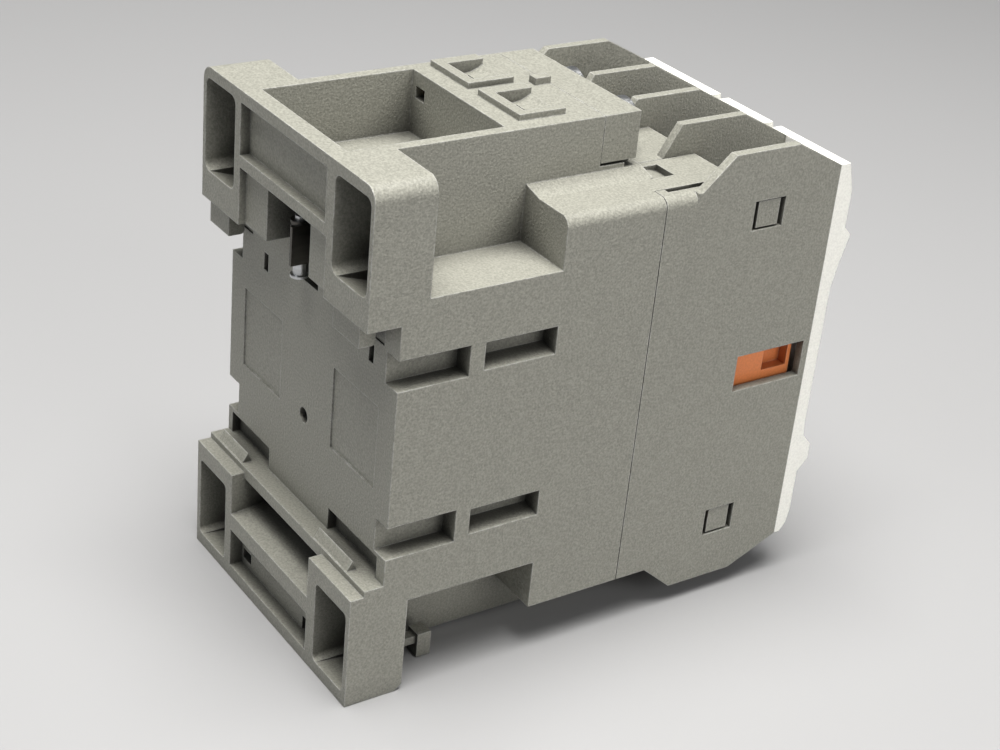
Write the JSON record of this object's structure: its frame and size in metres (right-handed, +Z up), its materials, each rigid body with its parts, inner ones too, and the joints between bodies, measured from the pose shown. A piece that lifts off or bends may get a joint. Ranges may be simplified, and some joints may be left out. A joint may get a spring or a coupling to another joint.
{
  "type": "din rail contactor",
  "caption": "Contactor that clips on a DIN rail: a coil pulls an armature and a contact carrier, whose sprung bridges close its poles.",
  "frame": {"origin": "on the rail seat, at the middle of the part's width and of the 35 mm rail", "axes": "+Y points from the seat into the rail and the panel, so the front cover faces -Y; +Z is up, towards the coil terminals; +X is to the right from the front"},
  "size_m": [0.045, 0.0782, 0.0757],
  "materials": {
    "grey_plastic": "fine grained moulding, matt",
    "cream_plastic": "smooth moulding, satin",
    "orange_plastic": "smooth moulding, satin",
    "laminated_steel": "ground sheet edges",
    "copper": "bare copper, satin",
    "winding": "enamelled wire under clear tape",
    "rubber": "matt",
    "black_nylon": "satin moulding",
    "brass_strip": "rolled strip, satin",
    "silver_alloy": "satin",
    "zinc_steel": "zinc plated, satin",
    "spring_steel": "drawn wire and strip"
  },
  "bodies": {
    "housing": {"base_housing": "grey_plastic", "front_housing": "grey_plastic", "front_cover": "cream_plastic", "coil_terminal_block": "grey_plastic", "fixed_core": "laminated_steel", "shading_rings": "copper", "core_cushion": "rubber", "coil_bobbin": "black_nylon", "coil_winding": "winding", "coil_terminals": "brass_strip", "coil_clamp_washers": "zinc_steel", "coil_screws": "zinc_steel", "coil_nuts": "zinc_steel", "return_springs": "spring_steel", "line_terminal_1": "brass_strip", "line_terminal_2": "brass_strip", "line_terminal_3": "brass_strip", "line_terminal_4": "brass_strip", "load_terminal_1": "brass_strip", "load_terminal_2": "brass_strip", "load_terminal_3": "brass_strip", "load_terminal_4": "brass_strip", "fixed_tips": "silver_alloy", "line_screws": "zinc_steel", "load_screws": "zinc_steel", "line_clamp_washers": "zinc_steel", "load_clamp_washers": "zinc_steel", "terminal_nuts": "zinc_steel", "arc_plates": "laminated_steel", "rail_spring_saddle": "spring_steel", "rail_spring": "spring_steel"},
    "carrier": {"armature": "laminated_steel", "armature_pin": "zinc_steel", "contact_carrier": "orange_plastic", "contact_springs": "spring_steel"},
    "bridges": {"bridge_1": "brass_strip", "bridge_2": "brass_strip", "bridge_3": "brass_strip", "bridge_4": "brass_strip", "bridge_tips": "silver_alloy"},
    "rail_stud": {"rail_stud": "zinc_steel"}
  },
  "joints": [
    {"name": "carrier_travel", "type": "slide", "parent": "housing", "child": "carrier", "axis": [0, 1, 0], "range_m": [0, 0.0045], "stiffness_N_per_m": 600, "springref_m": -0.005, "deforming": ["return_springs"]},
    {"name": "bridge_give", "type": "slide", "parent": "carrier", "child": "bridges", "axis": [0, 1, 0], "range_m": [-0.0008, 0], "stiffness_N_per_m": 800, "springref_m": 0.002, "deforming": ["contact_springs"]},
    {"name": "stud_press", "type": "slide", "parent": "housing", "child": "rail_stud", "axis": [0, 0, 1], "range_m": [0, 0.0022], "stiffness_N_per_m": 4000, "springref_m": -0.0015, "deforming": ["rail_spring"]}
  ],
  "couplings": [
    {"joint": "bridge_give", "follows": "carrier_travel", "ratio": -0.17777}
  ]
}
